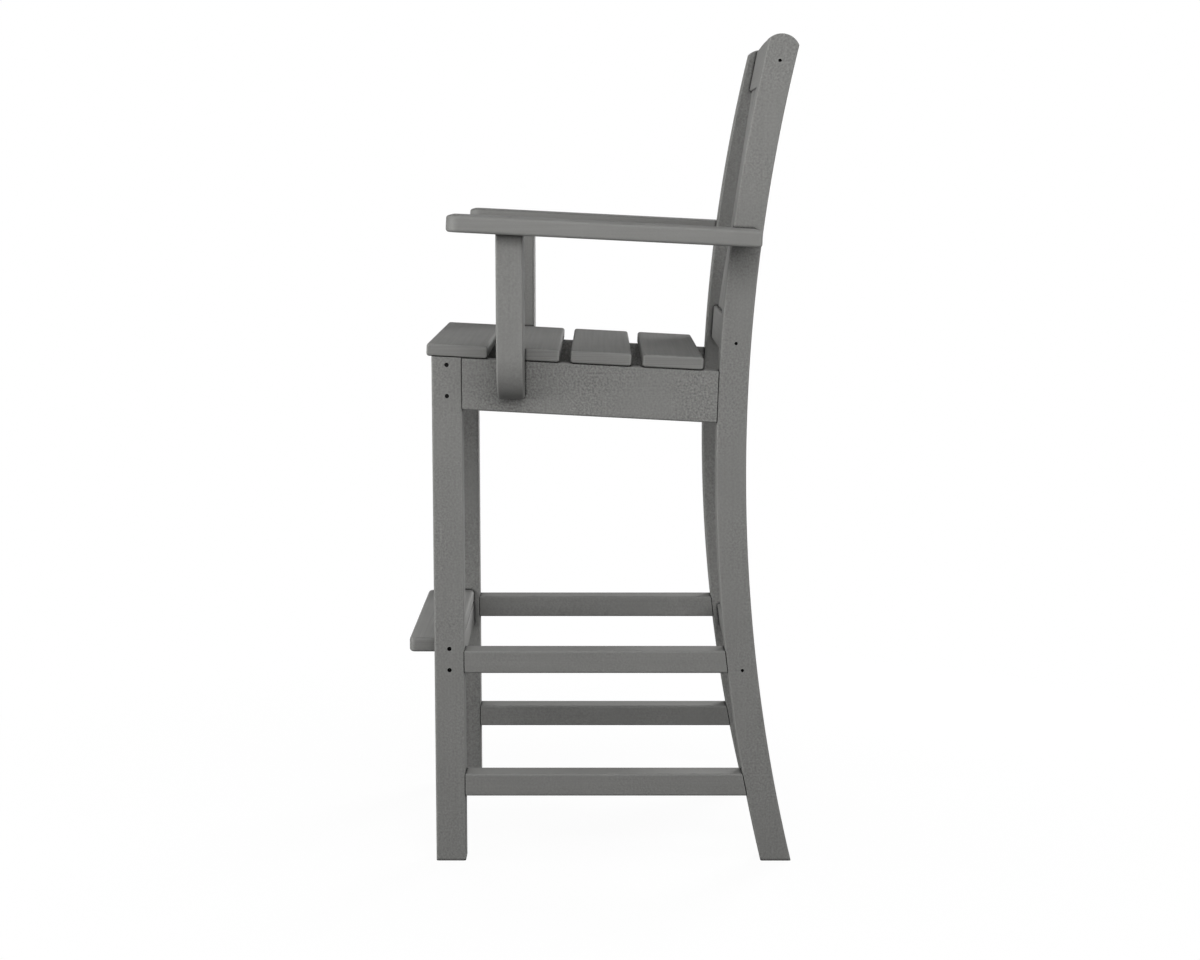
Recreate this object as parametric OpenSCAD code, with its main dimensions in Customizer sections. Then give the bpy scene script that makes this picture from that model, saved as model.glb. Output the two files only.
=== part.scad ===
/* [Frame] */
// Width across the outer faces of the legs
frame_w = 461.2; // [420:0.1:520]
// Front-to-back size of each leg
leg_depth = 44.45; // [38:0.05:50]
// Side-to-side thickness of each leg
leg_thick = 38.1; // [36:0.1:48]
// Clear run from the front legs to the most forward point of the back legs
leg_gap = 371.4; // [350:0.1:420]
// Rounding of the long edges of legs, rails and stretchers
edge_r = 3.2; // [1:0.1:5]

/* [Back legs] */
// Height of the arced top above the floor
back_leg_h = 1221.3; // [1180:0.1:1240]
// Radius of the sweep along the rear edge
sweep_r = 2577.3; // [2200:0.1:3200]
// Height of the most forward point of the sweep
sweep_h = 606.3; // [560:0.1:650]
// Radius of the arced top
back_leg_top_r = 27.65; // [27:0.05:34]

/* [Seat] */
// Height of the seat's top above the front faces of the front legs
seat_h = 779; // [740:0.5:800]
// Slope of the seat down to the rear, in degrees
seat_slope = 3; // [1:0.1:5]
// Width of each seat slat
slat_w = 88.9; // [80:0.1:92]
// Thickness of each seat slat
slat_t = 19.05; // [16:0.05:25]
// Gap between seat slats
slat_gap = 16.2; // [6:0.1:20]
// How far the first slat stands ahead of the front legs
slat_overhang = 6.5; // [0:0.1:20]
// Rounding of the long edges of the seat slats
slat_edge_r = 4.2; // [1:0.1:6]
// Height of the side rails, square to the seat
side_rail_h = 76.2; // [64:0.1:90]
// Thickness of the side rails
side_rail_t = 25.4; // [20:0.1:34]
// Height of the front apron under the first slat
apron_h = 76.2; // [70:0.1:90]
// Thickness of the front apron
apron_t = 25.4; // [19:0.1:32]

/* [Stretchers] */
// Height of the side stretchers' section
side_stretcher_h = 34.1; // [28:0.1:45]
// Thickness of the side stretchers
side_stretcher_t = 38.1; // [25:0.1:38.1]
// Underside of the upper side stretchers above the floor
upper_stretcher_z = 287.8; // [270:0.1:320]
// Underside of the lower side stretchers above the floor
lower_stretcher_z = 100; // [60:0.5:160]
// Height of the section of the front and rear stretchers
cross_stretcher_h = 38.1; // [30:0.1:45]
// Thickness of the front and rear stretchers
cross_stretcher_t = 25.4; // [19:0.1:32]
// Middle of the rear stretcher above the floor
rear_stretcher_h = 292.2; // [285:0.1:300]

/* [Footrest] */
// Top of the footrest above the floor
footrest_h = 334; // [325:0.5:345]
// Front-to-back width of the footrest
footrest_w = 74.8; // [68:0.1:84]
// Thickness of the footrest
footrest_t = 22.2; // [19:0.1:26]
// How far the footrest stands ahead of the front legs
footrest_overhang = 40.3; // [30:0.1:50]
// Radius of the footrest's front corners in plan
footrest_corner_r = 9; // [6:0.5:16]
// Rounding of the footrest's edges
footrest_edge_r = 4.5; // [2:0.1:6]

/* [Back] */
// Middle of the lower back rail above the floor
lower_rail_mid = 780.9; // [775:0.1:800]
// Height of the lower back rail
lower_rail_h = 54.2; // [48:0.1:60]
// Thickness of the lower back rail
lower_rail_t = 25.4; // [22:0.1:32]
// Middle of the top rail's ends below the tops of the back legs
top_rail_drop = 35.4; // [34.3:0.1:71]
// Height of the top rail at its ends
top_rail_h = 65.2; // [56:0.1:68]
// Rise of the top rail's arched upper edge
top_rail_rise = 7.8; // [3:0.1:14]
// Thickness of the top rail
top_rail_t = 19.05; // [18:0.05:26]
// Lean of the top rail, in degrees
top_rail_lean = 11; // [8:0.1:14]
// Width of each back slat
back_slat_w = 63.5; // [50:0.1:70]
// Thickness of each back slat
back_slat_t = 12.7; // [9:0.1:14]
// Rounding of the back slats' long edges
back_slat_edge_r = 2.4; // [1:0.1:4]
// Depth of each mortise that holds a back slat
mortise_depth = 14; // [8:0.5:20]

/* [Arms] */
// Top of the arms at their front ends above the floor
arm_h = 966.3; // [930:0.1:990]
// Slope of the arms down to the rear, in degrees
arm_slope = 2.85; // [1:0.05:5]
// Width of each arm
arm_w = 139.7; // [125:0.1:150]
// Thickness of each arm
arm_t = 23.5; // [19:0.1:28]
// Length of each arm
arm_len = 441.8; // [430:0.1:448]
// Setback of the arms' front ends behind the front legs' front faces
arm_setback = 31.3; // [20:0.1:45]
// Depth of the notch that takes each arm round its back leg
arm_notch = 12.7; // [8:0.1:20]
// Radius of the arms' front corners in plan
arm_corner_r = 20; // [10:0.5:30]
// Radius of the arms' rear corners in plan
arm_rear_corner_r = 6; // [5:0.5:15]
// Rounding of the arms' edges
arm_edge_r = 4.5; // [2:0.1:5]
// Width of each arm post, square to the side rail
post_w = 88.9; // [80:0.1:100]
// Front-to-back thickness of each arm post
post_t = 38; // [32:0.1:45]
// Setback of the arm posts behind the front legs' front faces
post_setback = 98.5; // [80:0.1:120]
// Lower end of the arm posts above the floor
post_foot_h = 700; // [690:0.5:715]
// Radius of the curve on the posts' lower outer corners
post_curve_r = 66; // [40:0.5:75]

/* [Fixings] */
// Shank diameter of the frame screws
screw_d = 4.2; // [3.5:0.1:4.5]
// Head diameter of the frame screws
screw_head_d = 6; // [5:0.1:6.2]
// Diameter of the holes that sink the frame screws' heads
sink_d = 6.4; // [6.3:0.1:7]
// Shank diameter of the back screws
back_screw_d = 3.4; // [2.8:0.1:3.6]
// Head diameter of the back screws
back_screw_head_d = 4.6; // [4:0.1:4.7]
// Diameter of the holes that sink the back screws' heads
back_sink_d = 4.9; // [4.8:0.1:5.4]
// Depth of the sunk heads' seats below the surface
sink_depth = 9; // [4:0.5:14]
// Thickness of a screw head
screw_head_t = 3; // [2:0.1:3.5]
// Length of the frame and back screws under the head
screw_reach = 62; // [50:0.5:75]
// Length of the seat slat screws under the head
slat_screw_reach = 45; // [35:0.5:55]
// How far a seat slat screw bites into its slat
slat_screw_bite = 13; // [8:0.5:15]
// Upper apron screw below the apron's top
apron_screw_drop = 11.6; // [9:0.1:15]
// Height between the two apron screws
apron_screw_pitch = 45.6; // [36:0.1:50]
// Height between the two screws in each end of a side rail
rail_screw_pitch = 19; // [14:0.1:20]
// Screw in the footrest's ends, below its top
footrest_screw_drop = 9; // [8:0.1:11]
// Spacing of the two screws at each end of a seat slat behind the first
slat_screw_pitch = 32; // [28:0.5:34]
// Distance from the middle to the outer screws that hold the first slat to the apron
apron_slat_screw_x = 130; // [90:1:145]
// Screw through each back leg into its arm, behind the leg's middle
arm_leg_screw_back = 4; // [0:0.5:6]
// Spacing of the two screws that hold each arm to its post
arm_screw_pitch = 42; // [30:0.5:50]
// Upper post screw below the seat slats
post_screw_drop = 13; // [10:0.5:18]
// Height between the two screws that hold each post to its rail
post_screw_pitch = 25; // [18:0.5:26]
// Screws of both back rails below the rails' middles
back_rail_screw_drop = 2.6; // [0:0.1:6]

/* [Hidden] */

lumber = [0.46, 0.46, 0.45];
dark_steel = [0.16, 0.16, 0.16];

// Facets of bores, of hulled corners in plan, of rounded rims and of the long sweeps
$fn = 48;
corner_fn = 32;
rim_fn = 16;
sweep_fn = 720;
// Angle of the band that a back leg is cut from
sweep_arc = 30;
// Flats that ease each edge of a back leg
ease_flats = 4;
// Clearance round a screw's shank and round a slat's end in its mortise
screw_fit = 0.15;
mortise_fit = 0.25;
// Clearance between the arm's notch and the back leg
notch_fit = 0.3;
// Overshoot of cutting shapes past the surfaces that they cut
cut = 1;
// Size of the blocks that trim a board to a sloping plane
trim = 700;
back_slat_count = 5;

outer_x = frame_w / 2;
inner_x = outer_x - leg_thick;
// Radii of the back legs' front edge and centreline about the sweep's centre
sweep_front_r = sweep_r + leg_depth;
sweep_mid_r = sweep_r + leg_depth / 2;
// The back feet stand this far behind the most forward point of the sweep
foot_kick = sweep_r - sqrt(pow(sweep_r, 2) - pow(sweep_h, 2));
overall_depth = footrest_overhang + leg_depth + leg_gap + leg_depth + foot_kick;
front_y = footrest_overhang - overall_depth / 2;
front_leg_mid_y = front_y + leg_depth / 2;
front_leg_rear_y = front_y + leg_depth;
sweep_y = front_leg_rear_y + leg_gap + leg_depth + sweep_r;
back_leg_top_z = back_leg_h - back_leg_top_r;
top_rail_mid = back_leg_h - top_rail_drop;

// Place and lean of the back leg's edges at a height
function edge_y(r, z) = sweep_y - sqrt(pow(r, 2) - pow(z - sweep_h, 2));
function leg_lean(r, z) = asin((z - sweep_h) / r);
// Height of the plane that lies a distance under the seat's top
function seat_z(y, under) = seat_h - (y - front_y) * tan(seat_slope) - under / cos(seat_slope);
// Height of the plane that lies a distance under the arms' tops
function arm_z(y, under) =
  arm_h - (y - front_y - arm_setback) * tan(arm_slope) - under / cos(arm_slope);

apron_top_z = seat_z(front_leg_mid_y, slat_t);
apron_screw_z = [apron_top_z - apron_screw_drop, apron_top_z - apron_screw_drop - apron_screw_pitch];
front_stretcher_mid_z = footrest_h - footrest_t - cross_stretcher_h / 2;
footrest_screw_z = footrest_h - footrest_screw_drop;
side_stretcher_z = [upper_stretcher_z, lower_stretcher_z];
rail_mid_under = slat_t + side_rail_h / 2;
rail_front_z = seat_z(front_leg_rear_y, rail_mid_under);
rail_rear_z = seat_z(front_leg_rear_y + leg_gap, rail_mid_under);
rail_screw_x = outer_x - side_rail_t / 2;
stretcher_screw_x = outer_x - side_stretcher_t / 2;
post_mid_y = front_y + post_setback + post_t / 2;
post_screw_z = [seat_z(post_mid_y, slat_t) - post_screw_drop,
  seat_z(post_mid_y, slat_t) - post_screw_drop - post_screw_pitch];
arm_leg_screw_z = arm_z(edge_y(sweep_mid_r, arm_h), arm_t / 2);

// The back slats run from the middle of the lower rail's top to the middle of the top rail's underside
lower_rail_lean = leg_lean(sweep_mid_r, lower_rail_mid);
slat_foot_y = edge_y(sweep_mid_r, lower_rail_mid) + lower_rail_h / 2 * sin(lower_rail_lean);
slat_foot_z = lower_rail_mid + lower_rail_h / 2 * cos(lower_rail_lean);
slat_head_y = edge_y(sweep_mid_r, top_rail_mid) - top_rail_h / 2 * sin(top_rail_lean);
slat_head_z = top_rail_mid - top_rail_h / 2 * cos(top_rail_lean);
back_slat_lean = atan2(slat_head_y - slat_foot_y, slat_head_z - slat_foot_z);
back_slat_show = norm([slat_head_y - slat_foot_y, slat_head_z - slat_foot_z]);
back_slat_gap = (2 * inner_x - back_slat_count * back_slat_w) / (back_slat_count + 1);
top_arch_r = (pow(inner_x, 2) + pow(top_rail_rise, 2)) / (2 * top_rail_rise);

// Rectangle with rounded corners, its lower left corner at the origin
module rounded_rect(w, h, r) {
  translate([r, 0]) square([w - 2 * r, h]);
  translate([0, r]) square([w, h - 2 * r]);
  for (x = [r, w - r], y = [r, h - r]) translate([x, y]) circle(r);
}

// The same with each corner eased in flats, for a section that turns about a far axis
function eased_corner(x, y, r, turn) =
  [for (i = [0:ease_flats]) [x + r * cos(turn + 90 * i / ease_flats), y + r * sin(turn + 90 * i / ease_flats)]];
module eased_rect(w, h, r) {
  polygon(concat(eased_corner(w - r, h - r, r, 0), eased_corner(r, h - r, r, 90),
    eased_corner(r, r, r, 180), eased_corner(w - r, r, r, 270)));
}

// Disc whose rim is rounded on both faces
module rounded_disc(radius, thick, r) {
  rotate_extrude() intersection() {
    square([radius, thick]);
    union() {
      square([radius - r, thick]);
      translate([0, r]) square([radius, thick - 2 * r]);
      for (y = [r, thick - r]) translate([radius - r, y]) circle(r, $fn = rim_fn);
    }
  }
}

// Board that runs along X between the legs, centred on the origin
module cross_board(depth, h, r) {
  translate([-inner_x, -depth / 2, -h / 2])
    rotate([90, 0, 90]) linear_extrude(2 * inner_x) rounded_rect(depth, h, r);
}

// Board that runs along Y
module long_board(w, h, length, r) {
  translate([0, length, 0]) rotate([90, 0, 0]) linear_extrude(length) rounded_rect(w, h, r);
}

// Frames of the seat's top, the arms' tops, the back rails and the back slats
module on_seat() translate([0, front_y, seat_h]) rotate([-seat_slope, 0, 0]) children();
module on_arm() translate([0, front_y + arm_setback, arm_h]) rotate([-arm_slope, 0, 0]) children();
module in_back_leg(z, lean) translate([0, edge_y(sweep_mid_r, z), z]) rotate([-lean, 0, 0]) children();
module on_back() translate([0, slat_foot_y, slat_foot_z]) rotate([-back_slat_lean, 0, 0]) children();

// Everything is drawn for the left side; the right side mirrors it
module on_right() mirror([1, 0, 0]) children();
module both_sides() {
  children();
  on_right() children();
}

// Block behind the plane that touches the back leg's front edge at a height
module behind_back_leg(z) {
  translate([0, edge_y(sweep_front_r, z), z]) rotate([-leg_lean(sweep_front_r, z), 0, 0])
    translate([0, 0, -trim / 2]) cube(trim);
}

// Screw that bears on the plane z = 0, with its head above it
module trim_screw(d, head_d, reach) {
  color(dark_steel) rotate_extrude() polygon([[0, -reach], [d / 2, -reach + 1.5 * d], [d / 2, 0],
    [head_d / 2, 0], [head_d / 2, screw_head_t * 0.75], [head_d * 0.42, screw_head_t], [0, screw_head_t]]);
}
module frame_screw() trim_screw(screw_d, screw_head_d, screw_reach);
module back_screw() trim_screw(back_screw_d, back_screw_head_d, screw_reach);
module slat_screw() trim_screw(screw_d, screw_head_d, slat_screw_reach);

// Hole that takes a screw, open above its head for a given depth
module screw_hole(d, sink, depth, reach) {
  cylinder(d = sink, h = depth + cut);
  translate([0, 0, -reach - screw_fit]) cylinder(d = d + 2 * screw_fit, h = reach + screw_fit + cut / 2);
}
module frame_hole() screw_hole(screw_d, sink_d, sink_depth, screw_reach);
module back_hole() screw_hole(back_screw_d, back_sink_d, sink_depth, screw_reach);
module slat_hole() screw_hole(screw_d, sink_d, side_rail_h, slat_screw_reach);

// Seats of the screws' heads: in a leg's outer, front, rear or inner face
module at_outside(y, z) translate([outer_x - sink_depth, y, z]) rotate([0, 90, 0]) children();
module at_front(x, z) translate([x, front_y + sink_depth, z]) rotate([90, 0, 0]) children();
module at_rear(x, z) translate([x, edge_y(sweep_r, z) - sink_depth, z]) rotate([-90, 0, 0]) children();

module at_apron_screws() for (z = apron_screw_z) at_outside(front_leg_mid_y, z) children();
module at_front_stretcher_screw() at_outside(front_leg_mid_y, front_stretcher_mid_z) children();
module at_footrest_screw() at_outside(front_leg_mid_y, footrest_screw_z) children();
module at_back_leg_screw(z) at_outside(edge_y(sweep_mid_r, z), z) children();
module at_rear_stretcher_screw() at_back_leg_screw(rear_stretcher_h) children();
module at_lower_rail_screw() at_back_leg_screw(lower_rail_mid - back_rail_screw_drop) children();
module at_top_rail_screw() at_back_leg_screw(top_rail_mid - back_rail_screw_drop) children();
module at_rail_front_screws()
  for (side = [-1, 1]) at_front(rail_screw_x, rail_front_z + side * rail_screw_pitch / 2) children();
module at_rail_rear_screws()
  for (side = [-1, 1]) at_rear(rail_screw_x, rail_rear_z + side * rail_screw_pitch / 2) children();
module at_stretcher_front_screws()
  for (z = side_stretcher_z) at_front(stretcher_screw_x, z + side_stretcher_h / 2) children();
module at_stretcher_rear_screws()
  for (z = side_stretcher_z) at_rear(stretcher_screw_x, z + side_stretcher_h / 2) children();

// Screws driven up: through the apron into the first slat, and through the side rails into the others
function slat_y(i) = i * (slat_w + slat_gap) - slat_overhang;
slat_screw_y = [for (i = [1:3], side = [-1, 1]) slat_y(i) + (slat_w + side * slat_screw_pitch) / 2];
module at_slat_screws() {
  for (x = [-apron_slat_screw_x, 0, apron_slat_screw_x])
    translate([x, front_leg_mid_y, apron_top_z + slat_screw_bite - slat_screw_reach])
      rotate([180, 0, 0]) children();
  both_sides() on_seat() for (y = slat_screw_y)
    translate([rail_screw_x, y, slat_screw_bite - slat_t - slat_screw_reach])
      rotate([180, 0, 0]) children();
}

// Screws from the rail's inner face into the post, from the arm's top into the post,
// and from the leg's inner face into the arm
module at_post_screws() for (z = post_screw_z)
  translate([outer_x - side_rail_t + sink_depth, post_mid_y, z]) rotate([0, -90, 0]) children();
module at_arm_top_screws() for (side = [-1, 1])
  translate([outer_x + (post_w + side * arm_screw_pitch) / 2, post_mid_y, arm_z(post_mid_y, sink_depth)])
    rotate([-arm_slope, 0, 0]) children();
module at_arm_leg_screw()
  translate([inner_x + sink_depth, edge_y(sweep_mid_r, arm_leg_screw_z) + arm_leg_screw_back, arm_leg_screw_z])
    rotate([0, -90, 0]) children();

module front_leg() {
  difference() {
    translate([inner_x, front_y, 0]) linear_extrude(seat_h) rounded_rect(leg_thick, leg_depth, edge_r);
    on_seat() translate([0, -trim / 2, -slat_t]) cube(trim);
    at_apron_screws() frame_hole();
    at_front_stretcher_screw() frame_hole();
    at_footrest_screw() frame_hole();
    at_rail_front_screws() frame_hole();
    at_stretcher_front_screws() frame_hole();
  }
}

// Swept band about the sweep's centre, cut at the floor and arced at the top
module back_leg() {
  top_y = edge_y(sweep_mid_r, back_leg_top_z);
  difference() {
    intersection() {
      translate([inner_x, sweep_y, sweep_h]) rotate([0, 90, 0]) rotate([0, 0, -90 - sweep_arc / 2])
        rotate_extrude(angle = sweep_arc, $fn = sweep_fn)
          translate([sweep_r, 0]) eased_rect(leg_depth, leg_thick, edge_r);
      translate([inner_x - cut, 0, 0]) {
        translate([0, -trim, 0]) cube([leg_thick + 2 * cut, 2 * trim, back_leg_top_z]);
        translate([0, top_y, back_leg_top_z]) rotate([0, 90, 0])
          cylinder(r = back_leg_top_r, h = leg_thick + 2 * cut);
      }
    }
    at_rear_stretcher_screw() back_hole();
    at_lower_rail_screw() back_hole();
    at_top_rail_screw() back_hole();
    at_rail_rear_screws() frame_hole();
    at_stretcher_rear_screws() frame_hole();
    at_arm_leg_screw() frame_hole();
  }
}

module side_rail() {
  difference() {
    on_seat() translate([outer_x - side_rail_t, 0, -slat_t - side_rail_h])
      long_board(side_rail_t, side_rail_h, leg_gap + 2 * leg_depth, edge_r);
    translate([0, front_leg_rear_y - trim, 0]) cube([trim, trim, seat_h]);
    behind_back_leg(rail_rear_z);
    at_rail_front_screws() frame_hole();
    at_rail_rear_screws() frame_hole();
    at_slat_screws() slat_hole();
    at_post_screws() frame_hole();
  }
}

module side_stretcher(z) {
  difference() {
    translate([outer_x - side_stretcher_t, front_leg_rear_y, z])
      long_board(side_stretcher_t, side_stretcher_h, leg_gap + 2 * leg_depth, edge_r);
    behind_back_leg(z + side_stretcher_h / 2);
    at_stretcher_front_screws() frame_hole();
    at_stretcher_rear_screws() frame_hole();
  }
}

module arm_post() {
  small_r = edge_r + cut;
  difference() {
    translate([outer_x, front_y + post_setback + post_t, 0]) rotate([90, 0, 0]) hull() {
      for (x = [small_r, post_w - small_r]) translate([x, arm_h, 0])
        rounded_disc(small_r, post_t, edge_r, $fn = corner_fn);
      translate([small_r, post_foot_h + small_r, 0]) rounded_disc(small_r, post_t, edge_r, $fn = corner_fn);
      intersection() {
        translate([post_w - post_curve_r, post_foot_h + post_curve_r, 0])
          rounded_disc(post_curve_r, post_t, edge_r, $fn = 2 * corner_fn);
        translate([post_w - post_curve_r, post_foot_h, 0]) cube([post_curve_r, post_curve_r, post_t]);
      }
    }
    on_arm() translate([0, -trim / 2, -arm_t]) cube(trim);
    at_post_screws() frame_hole();
    at_arm_top_screws() frame_hole();
  }
}

module arm() {
  difference() {
    on_arm() translate([outer_x - arm_notch, 0, -arm_t]) hull() {
      for (x = [arm_corner_r, arm_w - arm_corner_r]) translate([x, arm_corner_r, 0])
        rounded_disc(arm_corner_r, arm_t, arm_edge_r, $fn = corner_fn);
      for (x = [arm_rear_corner_r, arm_w - arm_rear_corner_r])
        translate([x, arm_len - arm_rear_corner_r, 0])
          rounded_disc(arm_rear_corner_r, arm_t, arm_edge_r, $fn = corner_fn);
    }
    translate([outer_x - arm_notch - cut, sweep_y, sweep_h]) rotate([0, 90, 0])
      cylinder(r = sweep_front_r + notch_fit, h = arm_notch + cut, $fn = sweep_fn);
    at_arm_top_screws() frame_hole();
    at_arm_leg_screw() frame_hole();
  }
}

module left_front_leg() { color(lumber) front_leg(); }
module right_front_leg() { color(lumber) on_right() front_leg(); }
module left_back_leg() { color(lumber) back_leg(); }
module right_back_leg() { color(lumber) on_right() back_leg(); }
module left_side_rail() { color(lumber) side_rail(); }
module right_side_rail() { color(lumber) on_right() side_rail(); }
module left_upper_stretcher() { color(lumber) side_stretcher(upper_stretcher_z); }
module right_upper_stretcher() { color(lumber) on_right() side_stretcher(upper_stretcher_z); }
module left_lower_stretcher() { color(lumber) side_stretcher(lower_stretcher_z); }
module right_lower_stretcher() { color(lumber) on_right() side_stretcher(lower_stretcher_z); }
module left_arm_post() { color(lumber) arm_post(); }
module right_arm_post() { color(lumber) on_right() arm_post(); }
module left_arm() { color(lumber) arm(); }
module right_arm() { color(lumber) on_right() arm(); }

// Apron between the front legs, its top planed to the seat's slope
module front_apron() {
  color(lumber) difference() {
    translate([0, front_leg_mid_y, apron_top_z - apron_h / 2 + cut])
      cross_board(apron_t, apron_h + 2 * cut, edge_r);
    on_seat() translate([-trim / 2, -trim / 2, -slat_t]) cube(trim);
    both_sides() at_apron_screws() frame_hole();
    at_slat_screws() slat_hole();
  }
}

module front_stretcher() {
  color(lumber) difference() {
    translate([0, front_leg_mid_y, front_stretcher_mid_z])
      cross_board(cross_stretcher_t, cross_stretcher_h, edge_r);
    both_sides() at_front_stretcher_screw() frame_hole();
  }
}

module rear_stretcher() {
  color(lumber) difference() {
    in_back_leg(rear_stretcher_h, leg_lean(sweep_mid_r, rear_stretcher_h))
      cross_board(cross_stretcher_t, cross_stretcher_h, edge_r);
    both_sides() at_rear_stretcher_screw() back_hole();
  }
}

// Board that lies on the front stretcher, with rounded front corners
module footrest() {
  rear_r = footrest_edge_r + cut;
  color(lumber) difference() {
    translate([0, front_y - footrest_overhang, footrest_h - footrest_t]) hull() {
      for (x = [footrest_corner_r - inner_x, inner_x - footrest_corner_r])
        translate([x, footrest_corner_r, 0])
          rounded_disc(footrest_corner_r, footrest_t, footrest_edge_r, $fn = corner_fn);
      for (x = [rear_r - inner_x, inner_x - rear_r]) translate([x, footrest_w - rear_r, 0])
        rounded_disc(rear_r, footrest_t, footrest_edge_r, $fn = corner_fn);
    }
    both_sides() at_footrest_screw() frame_hole();
  }
}

module seat_slat(i) {
  color(lumber) difference() {
    on_seat() translate([-outer_x, slat_y(i), -slat_t])
      rotate([90, 0, 90]) linear_extrude(frame_w) rounded_rect(slat_w, slat_t, slat_edge_r);
    at_slat_screws() slat_hole();
  }
}
module seat_slat_1() { seat_slat(0); }
module seat_slat_2() { seat_slat(1); }
module seat_slat_3() { seat_slat(2); }
module seat_slat_4() { seat_slat(3); }

// Mortises for the back slats' ends, in both rails
module mortises() {
  grown = [back_slat_w + 2 * mortise_fit, back_slat_t + 2 * mortise_fit,
    back_slat_show + 2 * mortise_depth + 2 * mortise_fit];
  for (i = [0:back_slat_count - 1]) on_back()
    translate([back_slat_x(i), 0, back_slat_show / 2]) cube(grown, center = true);
}

module lower_back_rail() {
  color(lumber) difference() {
    in_back_leg(lower_rail_mid, lower_rail_lean) cross_board(lower_rail_t, lower_rail_h, edge_r);
    mortises();
    both_sides() at_lower_rail_screw() back_hole();
  }
}

// Top rail with a straight underside and an arched upper edge, rounded all round but cut square at its ends
module top_rail() {
  flat_t = top_rail_t - 2 * edge_r;
  arch_z = top_rail_h / 2 + top_rail_rise - top_arch_r;
  color(lumber) difference() {
    in_back_leg(top_rail_mid, top_rail_lean) intersection() {
      minkowski() {
        rotate([90, 0, 0]) linear_extrude(flat_t, center = true) intersection() {
          translate([-outer_x, edge_r - top_rail_h / 2]) square([frame_w, top_rail_h + top_rail_rise]);
          translate([0, arch_z]) circle(top_arch_r - edge_r, $fn = sweep_fn);
        }
        sphere(edge_r, $fn = 16);
      }
      cube([2 * inner_x, 2 * top_rail_t, 3 * top_rail_h], center = true);
    }
    mortises();
    both_sides() at_top_rail_screw() back_hole();
  }
}

function back_slat_x(i) = (i + 0.5 - back_slat_count / 2) * (back_slat_w + back_slat_gap);
module back_slat(i) {
  length = back_slat_show + 2 * mortise_depth;
  color(lumber) on_back() translate([back_slat_x(i) - back_slat_w / 2, -back_slat_t / 2, -mortise_depth])
    linear_extrude(length) rounded_rect(back_slat_w, back_slat_t, back_slat_edge_r);
}
module back_slat_1() { back_slat(0); }
module back_slat_2() { back_slat(1); }
module back_slat_3() { back_slat(2); }
module back_slat_4() { back_slat(3); }
module back_slat_5() { back_slat(4); }

module apron_screws() { both_sides() at_apron_screws() frame_screw(); }
module front_stretcher_screws() { both_sides() at_front_stretcher_screw() frame_screw(); }
module footrest_screws() { both_sides() at_footrest_screw() frame_screw(); }
module rear_stretcher_screws() { both_sides() at_rear_stretcher_screw() back_screw(); }
module lower_back_rail_screws() { both_sides() at_lower_rail_screw() back_screw(); }
module top_rail_screws() { both_sides() at_top_rail_screw() back_screw(); }
module side_rail_screws() {
  both_sides() {
    at_rail_front_screws() frame_screw();
    at_rail_rear_screws() frame_screw();
  }
}
module side_stretcher_screws() {
  both_sides() {
    at_stretcher_front_screws() frame_screw();
    at_stretcher_rear_screws() frame_screw();
  }
}
module seat_slat_screws() { at_slat_screws() slat_screw(); }
module arm_post_screws() { both_sides() at_post_screws() frame_screw(); }
module arm_screws() {
  both_sides() {
    at_arm_top_screws() frame_screw();
    at_arm_leg_screw() frame_screw();
  }
}

left_front_leg();
right_front_leg();
left_back_leg();
right_back_leg();
left_side_rail();
right_side_rail();
front_apron();
left_upper_stretcher();
right_upper_stretcher();
left_lower_stretcher();
right_lower_stretcher();
front_stretcher();
rear_stretcher();
footrest();
seat_slat_1();
seat_slat_2();
seat_slat_3();
seat_slat_4();
lower_back_rail();
top_rail();
back_slat_1();
back_slat_2();
back_slat_3();
back_slat_4();
back_slat_5();
left_arm_post();
right_arm_post();
left_arm();
right_arm();
apron_screws();
front_stretcher_screws();
footrest_screws();
rear_stretcher_screws();
lower_back_rail_screws();
top_rail_screws();
side_rail_screws();
side_stretcher_screws();
seat_slat_screws();
arm_post_screws();
arm_screws();
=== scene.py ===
# %% [markdown]
# # A bar armchair in grey plastic lumber
# The chair is built from boards of coloured plastic lumber, screwed together. Its solids come
# packed from the construction model, all in one frame in metres: +Z is up, the chair faces -Y, and
# +X is the sitter's left. This lesson dresses them. The slats, the screws and the back legs follow
# a rule, so they are modelled again with Geometry Nodes. The other boards keep their solids and get
# eased edges, and every board gets the lumber's finish.

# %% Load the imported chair
import math

import bmesh
import bpy
from mathutils import Matrix, Vector


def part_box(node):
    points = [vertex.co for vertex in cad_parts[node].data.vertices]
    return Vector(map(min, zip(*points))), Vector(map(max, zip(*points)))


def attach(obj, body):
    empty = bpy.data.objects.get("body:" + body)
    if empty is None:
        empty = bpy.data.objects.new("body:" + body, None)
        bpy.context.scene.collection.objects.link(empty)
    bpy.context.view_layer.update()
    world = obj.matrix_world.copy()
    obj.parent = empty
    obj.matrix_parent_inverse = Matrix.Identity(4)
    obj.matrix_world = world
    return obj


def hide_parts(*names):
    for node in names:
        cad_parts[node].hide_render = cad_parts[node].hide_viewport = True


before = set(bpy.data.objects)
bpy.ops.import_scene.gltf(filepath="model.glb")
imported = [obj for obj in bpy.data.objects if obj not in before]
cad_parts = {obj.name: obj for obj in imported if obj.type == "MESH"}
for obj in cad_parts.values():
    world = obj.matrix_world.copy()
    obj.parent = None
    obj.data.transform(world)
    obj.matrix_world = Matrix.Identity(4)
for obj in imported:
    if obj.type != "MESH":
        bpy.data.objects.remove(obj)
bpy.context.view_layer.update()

MM = 0.001

# %% [markdown]
# ## The camera
# The picture was taken square to the chair's left side, from a little above the arms and looking
# slightly down. The edges of the boards vanish towards points that give the lens and the tilt, and
# the known width of a slat gives the distance. A long lens far away keeps the far legs almost as
# large as the near ones, so a nearer, wider camera would not match.

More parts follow.
